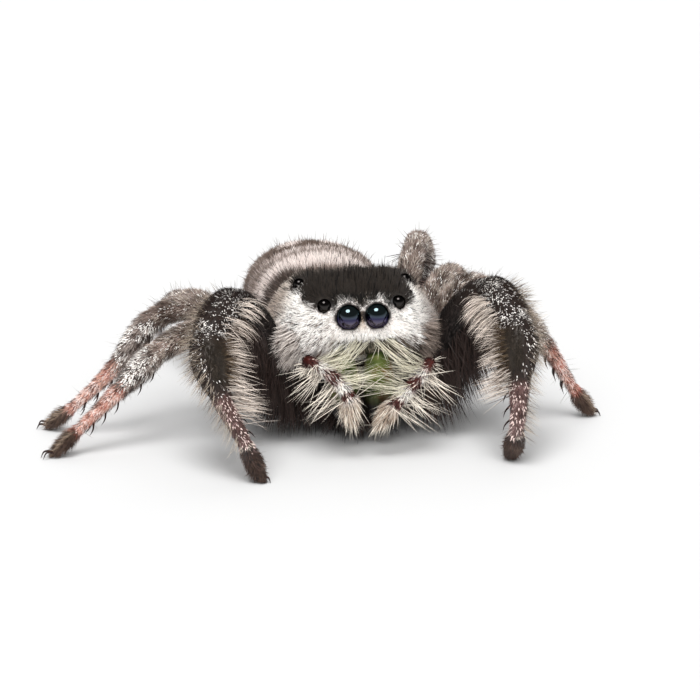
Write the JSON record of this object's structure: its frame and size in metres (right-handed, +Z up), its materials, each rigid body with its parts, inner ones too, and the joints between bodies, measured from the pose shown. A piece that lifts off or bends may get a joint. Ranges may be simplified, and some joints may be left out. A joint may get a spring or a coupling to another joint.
{
  "type": "jumping spider",
  "caption": "Life-size jumping spider in a low crouch, front legs bent before it, with big forward eyes, hairy legs, palps over green jaws and a rounded abdomen.",
  "frame": {"origin": "on the floor, under the middle of the whole spider's outline", "axes": "+X to the spider's own left, +Y to its rear, +Z up from the floor it stands on"},
  "size_m": [0.017, 0.0172, 0.005],
  "materials": {
    "pale_coat": "short dense hair, grey-white with a black cap over the eyes",
    "dark_coat": "dark hair flecked with white scales",
    "shank": "pinkish skin under pale scales and thin hair",
    "foot": "dense dark brown brush of hair",
    "lens": "black glassy lens",
    "jaw": "iridescent green shell",
    "horn": "polished dark red-brown horn"
  },
  "bodies": {
    "root": {"eye_front_middle_r": "lens", "eye_front_middle_l": "lens", "eye_front_side_r": "lens", "eye_front_side_l": "lens", "eye_rear_middle_r": "lens", "eye_rear_middle_l": "lens", "eye_rear_side_r": "lens", "eye_rear_side_l": "lens", "cephalothorax": "pale_coat", "sternum": "dark_coat", "abdomen": "pale_coat", "waist": "dark_coat", "spinnerets": "dark_coat", "chelicera_r": "jaw", "fang_r": "horn", "chelicera_l": "jaw", "fang_l": "horn", "mouthparts": "dark_coat", "palp_r": "pale_coat", "palp_l": "pale_coat", "leg_r1_femur": "dark_coat", "leg_r1_patella": "dark_coat", "leg_r1_tibia": "dark_coat", "leg_r1_metatarsus": "shank", "leg_r1_tarsus": "foot", "leg_r2_femur": "dark_coat", "leg_r2_patella": "dark_coat", "leg_r2_tibia": "dark_coat", "leg_r2_metatarsus": "shank", "leg_r2_tarsus": "foot", "leg_r3_femur": "dark_coat", "leg_r3_patella": "dark_coat", "leg_r3_tibia": "dark_coat", "leg_r3_metatarsus": "shank", "leg_r3_tarsus": "foot", "leg_r4_femur": "dark_coat", "leg_r4_patella": "dark_coat", "leg_r4_tibia": "dark_coat", "leg_r4_metatarsus": "shank", "leg_r4_tarsus": "foot", "leg_l1_femur": "dark_coat", "leg_l1_patella": "dark_coat", "leg_l1_tibia": "dark_coat", "leg_l1_metatarsus": "shank", "leg_l1_tarsus": "foot", "leg_l2_femur": "dark_coat", "leg_l2_patella": "dark_coat", "leg_l2_tibia": "dark_coat", "leg_l2_metatarsus": "shank", "leg_l2_tarsus": "foot", "leg_l3_femur": "dark_coat", "leg_l3_patella": "dark_coat", "leg_l3_tibia": "dark_coat", "leg_l3_metatarsus": "shank", "leg_l3_tarsus": "foot", "leg_l4_femur": "dark_coat", "leg_l4_patella": "dark_coat", "leg_l4_tibia": "dark_coat", "leg_l4_metatarsus": "shank", "leg_l4_tarsus": "foot"}
  },
  "joints": []
}
